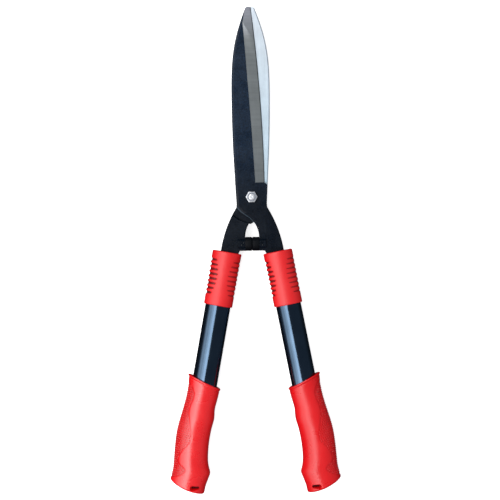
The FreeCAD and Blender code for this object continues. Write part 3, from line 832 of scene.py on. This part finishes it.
def mouth_u(w):
    (u0, w0), (u1, w1) = GRIP_RIM
    return u0 + (u1 - u0) * (w - w0) / (w1 - w0)


def butt_u(w):
    return BUTT_CENTRE[0] + np.sqrt(np.maximum(BUTT_RADIUS ** 2 - (w - BUTT_CENTRE[1]) ** 2, 0))


def panel_edge(u):
    """w where the panel starts at u. There is no panel beyond its ends."""
    us, ws = zip(*PANEL_EDGE)
    return np.interp(u, us, ws, left=40.0, right=40.0)


def panel_mask(u, w):
    """1 well inside the textured panel, 0 well outside it, with an edge about a millimetre wide."""
    return smoothstep(-0.9, 0.9, (w - panel_edge(u)) * 0.8)


def grip_oval(u):
    """The grip's section at u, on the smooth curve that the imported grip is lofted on: half width,
    middle w and half depth."""
    table, u = np.array(GRIP_SECTIONS), np.asarray(u, float)
    i = np.clip(np.searchsorted(table[:, 0], u, side="right") - 1, 0, len(table) - 2)
    a, b = table[i], table[i + 1]
    before, after = table[np.maximum(i - 1, 0)], table[np.minimum(i + 2, len(table) - 1)]
    step = (b - a)[..., :1]
    t = (u[..., None] - a[..., :1]) / step
    slope_a = (b - before) / (b - before)[..., :1] * step
    slope_b = (after - a) / (after - a)[..., :1] * step
    at_u = ((1 + 2 * t) * (1 - t) ** 2 * a + t * (1 - t) ** 2 * slope_a
            + t * t * (3 - 2 * t) * b - t * t * (1 - t) * slope_b)
    inner, outer, half_depth = at_u[..., 1], at_u[..., 2], at_u[..., 3]
    return (outer - inner) / 2, (outer + inner) / 2, half_depth


def grip_surface(u, t):
    """Point and outward normal on the plain grip at u and angle t, both arrays."""
    a, centre, b = grip_oval(u)
    point = np.stack([u, centre + a * np.cos(t), b * np.sin(t)], -1)
    normal = np.stack([np.zeros_like(u), np.cos(t) / a, np.sin(t) / b], -1)
    normal /= np.linalg.norm(normal, axis=-1)[..., None]
    return point, normal


def end_at(t, limit, guess):
    """u where the grip's side at angle t meets the mouth or the butt, which limit gives by w."""
    u = np.full_like(t, guess)
    for _ in range(30):
        point, _normal = grip_surface(u, t)
        u = 0.5 * u + 0.5 * limit(point[..., 1])
    return u


def stud(floor, normal):
    """Points of one round stud on the panel's floor."""
    along = np.array([1.0, 0.0, 0.0])
    across = np.cross(normal, along)
    points = []
    for radius, height in STUD_PROFILE:
        for k in range(STUD_SIDES):
            q = 2 * math.pi * (k + 0.5) / STUD_SIDES
            offset = along * math.cos(q) + across * math.sin(q)
            points.append(floor + normal * height + offset * radius)
    return points + [floor + normal * STUD_TOP, floor + normal * STUD_ROOT]


def studs(side):
    """All the studs, as closed shells in staggered rows round the outer side."""
    one = ring_faces(len(STUD_PROFILE), STUD_SIDES)
    ring_points = len(STUD_PROFILE) * STUD_SIDES
    one += fan(STUD_SIDES, ring_points - STUD_SIDES, ring_points) + fan(STUD_SIDES, 0, ring_points + 1)
    points, faces = [], []
    u, staggered = STUD_ROWS_U[0], False
    while u < STUD_ROWS_U[1]:
        a, _centre, b = grip_oval(u)
        for sign in (1, -1):
            t = 0.063 if staggered else 0.0
            while t < 1.75:
                point, normal = grip_surface(np.array(u), np.array(sign * t))
                already_made = sign < 0 and t == 0.0
                if point[1] - panel_edge(u) > STUD_EDGE_GAP and not already_made:
                    first = len(points)
                    points += stud(point - normal * PANEL_DEPTH, normal)
                    faces += [tuple(first + v for v in face) for face in one]
                t += STUD_PITCH_ROUND / math.hypot(a * math.sin(t), b * math.cos(t))
        u += STUD_PITCH_U
        staggered = not staggered
    return new_object("studs", from_handle(np.array(points), side), faces)


def panel_depths(obj, side):
    """How far each vertex lies below the plain grip, in millimetres, where there is a panel."""
    co = np.empty(3 * len(obj.data.vertices), np.float32)
    obj.data.vertices.foreach_get("co", co)
    x, y, z = own_frame(co.reshape(-1, 3), side).T
    s, c = math.sin(HANDLE_ANGLE), math.cos(HANDLE_ANGLE)
    x, y = x - COLLAR_MOUTH[0], y - COLLAR_MOUTH[1]
    u, w = x * s - y * c, x * c + y * s
    a, centre, b = grip_oval(u)
    out = np.hypot((w - centre) / a, z / b)
    return np.where(out > 0.85, (1 - out) * np.hypot(w - centre, z), 0) * panel_mask(u, w)


def bore_ring(gap, past_mouth):
    """A ring round the tube, gap clear of it and past_mouth beyond the slanted mouth."""
    ring = ellipse_ring(larger(TUBE, gap), 0, GRIP_COUNT)
    ring[:, 0] = mouth_u(ring[:, 1]) + past_mouth
    return ring


def mouth_rings(u0, t):
    """The rolled mouth, from inside the bore out to the grip's side."""
    rings = [bore_ring(0.06, depth) for depth in (9.0, 4.0, 1.6)]
    rings += [bore_ring(0.35, 0.55), bore_ring(0.8, 0.15)]
    inner_lip, (start, normal) = rings[-1], grip_surface(u0, t)
    outer_lip = start - normal * (MOUTH_ROUND - BEAD)
    for share, past_mouth in ((0.35, 0.15), (0.7, 0.15), (1.0, 0.05)):
        ring = inner_lip * (1 - share) + outer_lip * share
        ring[:, 0] = mouth_u(ring[:, 1]) + past_mouth
        rings.append(ring)
    for i in range(1, 6):
        angle = math.pi / 2 * i / 6
        ring = start + normal * (BEAD - MOUTH_ROUND * (1 - math.sin(angle)))
        ring[:, 0] = u0 + MOUTH_ROUND * (1 - math.cos(angle))
        rings.append(ring)
    return rings


def grip_side_rings(u0, u1, t):
    """From just past the mouth's roll to just before the butt's corner, with the panel sunk in."""
    rings = []
    for share in np.linspace(0, 1, GRIP_ROWS):
        u = u0 + MOUTH_ROUND + (u1 - BUTT_ROUND - u0 - MOUTH_ROUND) * share
        point, normal = grip_surface(u, t)
        past = u - u0
        bead = BEAD * (1 - smoothstep(1.5, 2.9, past)) - 0.28 * np.exp(-((past - 3.3) / 0.55) ** 2)
        rings.append(point + normal * (bead - PANEL_DEPTH * panel_mask(u, point[:, 1]))[:, None])
    return rings


def butt_rings(u1, t):
    """The butt's rounded corner, and its face nearly to the middle. Also gives the middle's w."""
    rings = []
    for i in range(1, 9):
        angle = math.pi / 2 * i / 8
        short = BUTT_ROUND * (1 - math.sin(angle))
        point, normal = grip_surface(u1 - short, t)
        ring = point - normal * BUTT_ROUND * (1 - math.cos(angle))
        ring[:, 0] = np.minimum(ring[:, 0], butt_u(ring[:, 1]) - short)
        rings.append(ring)
    edge = rings[-1]
    middle_w = edge[:, 1].mean()
    for share in np.linspace(0.95, 0.08, 20):
        ring = edge.copy()
        ring[:, 1] = middle_w + (edge[:, 1] - middle_w) * share
        ring[:, 2] = edge[:, 2] * share
        ring[:, 0] = butt_u(ring[:, 1])
        rings.append(ring)
    return rings, middle_w


def slot_cutter(side):
    """The hang slot with a soft lip where it opens on each face and a narrower waist between."""
    count = 32
    radius, half = SLOT_WIDTH / 2, SLOT_LENGTH / 2 - SLOT_WIDTH / 2
    profile = SLOT_FLARE + [(-z, grow) for z, grow in SLOT_FLARE[::-1]]
    verts = []
    for z, grow in profile:
        for k in range(count):
            q = 2 * math.pi * (k + 0.5) / count
            x = math.copysign(half, math.cos(q)) + (radius + grow) * math.cos(q)
            verts.append((HANG_SLOT[0] + x, HANG_SLOT[1] + (radius + grow) * math.sin(q), z))
    last = (len(profile) - 1) * count
    faces = ring_faces(len(profile), count)
    faces += [tuple(range(count - 1, -1, -1)), tuple(range(last, last + count))]
    return new_object("slot", to_row(np.array(verts), side), faces)


def grip_piece(name, body, side):
    count = GRIP_COUNT
    t = angles(count)
    u0, u1 = end_at(t, mouth_u, 150.0), end_at(t, butt_u, 281.0)
    butt, middle_w = butt_rings(u1, t)
    outside = mouth_rings(u0, t) + grip_side_rings(u0, u1, t) + butt
    inside = [ellipse_ring(larger(TUBE, 0.06), BORE_END_U - back, count) for back in (0, 30, 60)]
    first, total = len(outside) * count, (len(outside) + len(inside)) * count
    points = np.concatenate(outside + inside + [[[butt_u(middle_w), middle_w, 0], [BORE_END_U, 0, 0]]])
    faces = ring_faces(len(outside), count) + ring_faces(len(inside), count, first)
    faces += fan(count, first - count, total) + fan(count, first, total + 1)
    for j in range(count):
        k = (j + 1) % count
        faces.append((total - count + j, total - count + k, k, j))
    obj = new_object(name + "_grip_moulded", from_handle(points, side), faces)
    cut(obj, slot_cutter(side))
    textured = studs(side)
    with edited(obj.data) as work:
        work.from_mesh(textured.data)
    bpy.data.objects.remove(textured)
    # Painted shade where the panel is sunk.
    mark_recess_shade(obj, PANEL_SHADE[side] * smoothstep(0.12, 0.45, panel_depths(obj, side)))
    sharpen(obj, 50)
    dress(obj, RED_GRIP[side])
    return finish_piece(obj, body, "red_grip", name + "_grip")


# ---- pivot hardware and bumpers

LATHE_COUNT = 96
NUT_BASE, NUT_HEX_TOP, NUT_TOP = 4.2, 9.4, 12.0
NUT_RIM = 5.72
INSERT_FLOOR = 9.73
BOLT_TIP = 13.1
HEAD_TOP, HEAD_BOTTOM, HEAD_RIM = -6.75, -12.05, 6.1
BOLT_RADIUS, THREAD_RADIUS = 4.0, 3.9
THREAD_PITCH, THREAD_DEPTH, THREAD_START = 1.25, 0.6, 0.9
RINGS_PER_TURN = 9
TURN = angles(LATHE_COUNT)
# A hexagon's radius round the ring, 6.5 to its flats.
HEX = 6.5 / np.cos(TURN % (math.pi / 3) - math.pi / 6)
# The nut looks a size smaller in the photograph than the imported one.
NUT_HEX = HEX * 0.925
BUMPER_Y = -55.0
BUMPER_PIN_X = 11.6
BUMPER_PIN_HOLE = 1.55


def lathe(rings, ring_shaped):
    """Points (across, across, along) and faces of a turned solid from (radius, height) rings.

    A radius or height may vary round the ring. The solid is closed on its axis unless ring_shaped."""
    points = []
    for radius, height in rings:
        radius, height = np.broadcast_to(radius, TURN.shape), np.broadcast_to(height, TURN.shape)
        points.append(np.stack([radius * np.cos(TURN), radius * np.sin(TURN), height], -1))
    faces = ring_faces(len(rings), LATHE_COUNT, close=ring_shaped)
    if not ring_shaped:
        total = len(points) * LATHE_COUNT
        faces += fan(LATHE_COUNT, 0, total) + fan(LATHE_COUNT, total - LATHE_COUNT, total + 1)
        points.append([[0, 0, points[0][:, 2].mean()], [0, 0, points[-1][:, 2].mean()]])
    return np.concatenate(points), faces


def nut_piece():
    bore, pocket, crown, foot = 3.93, 4.98, 5.62, 5.85
    high = NUT_HEX - NUT_RIM
    rings = [(bore, 9.68), (bore, 4.5), (4.25, NUT_BASE), (foot, NUT_BASE)]
    rings += [(NUT_HEX, NUT_BASE + (NUT_HEX - foot) * 0.36), (NUT_HEX, NUT_HEX_TOP - high * 0.55),
              (NUT_HEX * 0.4 + NUT_RIM * 0.6, NUT_HEX_TOP - high * 0.2), (NUT_RIM, NUT_HEX_TOP)]
    rings += [(5.66, NUT_HEX_TOP + 0.06), (crown, NUT_HEX_TOP + 0.3), (crown, 11.15), (5.58, 11.45),
              (5.48, 11.7), (5.36, 11.88), (5.2, 11.97), (5.1, NUT_TOP), (5.02, 11.93), (pocket, 11.8),
              (pocket, 9.68)]
    points, faces = lathe(rings, True)
    obj = new_object("pivot_nut_turned", to_row(points, 1), faces)
    sharpen(obj, 28)
    return finish_piece(dress(obj, ZINC), FRONT, "zinc_steel", "pivot_nut")


def insert_piece():
    bore, outside = 3.95, 4.94
    rings = [(bore, INSERT_FLOOR), (outside, INSERT_FLOOR), (outside, 11.5), (4.84, 11.62), (4.6, 11.68),
             (4.25, 11.66), (4.05, 11.56), (bore, 11.4)]
    points, faces = lathe(rings, True)
    obj = new_object("nut_insert_turned", to_row(points, 1), faces)
    sharpen(obj, 50)
    return finish_piece(dress(obj, NYLON), FRONT, "nylon", "nut_insert")


def thread_rings():
    """Rings whose radius winds up the bolt as a V thread, down to a chamfer at the tip."""
    rings = []
    z = THREAD_START
    while z < BOLT_TIP - 0.1:
        turn = (z / THREAD_PITCH - TURN / (2 * math.pi)) % 1.0
        cut_in = np.clip(1.3 * (1 - np.abs(2 * turn - 1)) - 0.12, 0, 1)
        radius = THREAD_RADIUS - cut_in * THREAD_DEPTH * smoothstep(THREAD_START, 2.2, z)
        rings.append((np.minimum(radius, 3.02 + 0.95 * (BOLT_TIP - z)), z))
        z += THREAD_PITCH / RINGS_PER_TURN
    return rings


def bolt_piece():
    """Hexagon head below, plain shank, and a cut thread up through the nut."""
    low, rim, collar = HEAD_BOTTOM, HEAD_RIM, 6.4
    rings = [(3.6, low + 0.28), (4.35, low + 0.26), (4.7, low + 0.04), (4.85, low), (rim, low)]
    rings += [(HEX * 0.4 + rim * 0.6, low + (HEX - rim) * 0.18), (HEX, low + (HEX - rim) * 0.55),
              (HEX, HEAD_TOP - (HEX - collar) * 0.3), (collar, HEAD_TOP)]
    rings += [(4.15, HEAD_TOP), (BOLT_RADIUS, HEAD_TOP + 0.15), (BOLT_RADIUS, 0.0), (THREAD_RADIUS, 0.12)]
    rings += thread_rings()
    rings += [(3.02, BOLT_TIP - 0.05), (2.9, BOLT_TIP), (1.2, BOLT_TIP), (0.7, BOLT_TIP - 0.07)]
    points, faces = lathe(rings, False)
    obj = new_object("pivot_bolt_threaded", to_row(points, 1), faces)
    sharpen(obj, 28)
    return finish_piece(dress(obj, ZINC), FRONT, "zinc_steel", "pivot_bolt")


def bumper_piece(name, body, side):
    """A rubber drum that meets its twin at the middle, with a stem that is pinned in the arm's boss."""
    face, drum, stem = 0.004, 8.2, 3.95
    rings = [(5.0, face), (6.9, face), (7.5, 0.16), (7.9, 0.5), (8.12, 0.95), (drum, 1.5)]
    rings += [(drum, 7.6), (8.12, 7.95), (7.9, 8.14), (7.6, 8.2), (4.2, 8.2), (stem, 8.45), (stem, 14.2),
              (3.6, 14.55)]
    points, faces = lathe(rings, False)
    laid = np.stack([points[:, 2], BUMPER_Y + points[:, 0], points[:, 1]], -1)
    obj = new_object(name + "_bumper_moulded", to_row(laid, side), faces)
    hole, hole_faces = lathe([(BUMPER_PIN_HOLE, -10.0), (BUMPER_PIN_HOLE, 10.0)], False)
    cut(obj, new_object("cutter", to_row(hole + np.array([BUMPER_PIN_X, BUMPER_Y, 0]), side), hole_faces))
    sharpen(obj, 35)
    return finish_piece(dress(obj, RUBBER), body, "buffer_rubber", name + "_bumper")


nut_piece()
insert_piece()
bolt_piece()
for side_name, side_body, sign in SIDES:
    tube_piece(side_name, side_body, sign)
    collar_piece(side_name, side_body, sign)
    grip_piece(side_name, side_body, sign)
    bumper_piece(side_name, side_body, sign)

# The CAD nodes that are shown as they are.
KEPT_NODES = {"thrust_washer": ZINC, "spring_washer": ZINC}
for side_name, _side_body, _sign in SIDES:
    KEPT_NODES[side_name + "_bumper_pin"] = COATED_ARM
    KEPT_NODES[side_name + "_tang_pins"] = DARK_PIN
    KEPT_NODES[side_name + "_tang_insert"] = PLASTIC
    KEPT_NODES[side_name + "_tube_plug"] = PLASTIC
for node_name, look in KEPT_NODES.items():
    for slot in frame["nodes"][node_name].material_slots:
        slot.material = look


# ---- stage, light, camera

FLOOR_HALF_M = 4.0
# The soft box on the left, brightest where it is nearest the vertical: degrees off it, and radiance.
KEY_STRIPS = [(8.5, 25.0, 3.3), (25.0, 38.0, 2.2), (38.0, 60.0, 1.4), (60.0, 70.0, 0.6)]
KEY_REACH_M = 1.3
KEY_LENGTH_M = 3.0
KEY_MIDDLE_Y_M = 0.2
# The view from straight above: its middle from the pivot, its width and its turn.
VIEW_CENTRE = (-1.888, -62.304)
VIEW_WIDTH = 590.0
VIEW_ROLL = math.radians(0.83)
FOCAL_MM = 100.0
SENSOR_MM = 36.0


def floor():
    corners = [(-FLOOR_HALF_M, -FLOOR_HALF_M, 0), (FLOOR_HALF_M, -FLOOR_HALF_M, 0),
               (FLOOR_HALF_M, FLOOR_HALF_M, 0), (-FLOOR_HALF_M, FLOOR_HALF_M, 0)]
    obj = new_object("floor", corners, [(0, 1, 2, 3)], smooth=False)
    look = Look("floor")
    cloudy = look.noise(look.place(), 3.0, 2, 0.5)
    pale = look.ramp(cloudy, (0.3, (0.90, 0.90, 0.90)), (0.7, (0.93, 0.93, 0.93)))
    dress(obj, look.shade(Base_Color=pale, Roughness=0.9, Specular_IOR_Level=0.1,
                          Emission_Color=colour(1, 1, 1), Emission_Strength=0.72))
    obj.visible_glossy = False
    obj.visible_diffuse = False


def key_strip(name, start, end, radiance):
    """A long soft box on the left, seen from start to end degrees off the vertical."""
    (x0, z0), (x1, z1) = [(-KEY_REACH_M * math.sin(math.radians(angle)),
                           KEY_REACH_M * math.cos(math.radians(angle))) for angle in (start, end)]
    width = math.hypot(x1 - x0, z1 - z0)
    light = bpy.data.lights.new(name, "AREA")
    light.shape = "RECTANGLE"
    light.size, light.size_y = width, KEY_LENGTH_M
    light.energy = radiance * math.pi * width * KEY_LENGTH_M
    obj = bpy.data.objects.new(name, light)
    obj.location = ((x0 + x1) / 2, KEY_MIDDLE_Y_M, (z0 + z1) / 2)
    obj.rotation_euler = (0, math.atan2(z1 - z0, x0 - x1), 0)
    obj.visible_camera = False
    link(obj)


def world():
    """A dim grey-blue room for reflections, a brighter sky for soft fill, and a white backdrop."""
    made = bpy.data.worlds.new("studio")
    made.use_nodes = True
    graph = Graph(made.node_tree)
    coords = graph.node("ShaderNodeTexCoord").outputs["Generated"]
    height = graph.slope(graph.split(coords)[2], -0.25, 0.35)
    sky = graph.ramp(height, (0.0, (0.15, 0.15, 0.15)), (1.0, (0.54, 0.55, 0.57)))
    room = graph.ramp(height, (0.0, (0.03, 0.033, 0.038)), (1.0, (0.085, 0.1, 0.12)))
    rays = graph.node("ShaderNodeLightPath").outputs
    lit = graph.mix(rays["Is Glossy Ray"], sky, room)
    seen = graph.mix(rays["Is Camera Ray"], lit, colour(1.0, 1.0, 1.0))
    graph.put(seen, graph.nodes["Background"].inputs["Color"])
    bpy.context.scene.world = made


def camera():
    data = bpy.data.cameras.new("camera")
    data.lens, data.sensor_width = FOCAL_MM, SENSOR_MM
    data.clip_end = 50
    obj = bpy.data.objects.new("camera", data)
    (right, up), s, c = VIEW_CENTRE, math.sin(VIEW_ROLL), math.cos(VIEW_ROLL)
    distance = VIEW_WIDTH * FOCAL_MM / SENSOR_MM
    obj.location = to_row((right * c + up * s, up * c - right * s, distance), 1)
    obj.rotation_euler = (0, 0, -VIEW_ROLL)
    bpy.context.scene.camera = link(obj)


floor()
world()
for index, (start, end, radiance) in enumerate(KEY_STRIPS):
    key_strip("key_%d" % index, start, end, radiance)
camera()
bpy.context.scene.view_settings.view_transform = "Standard"
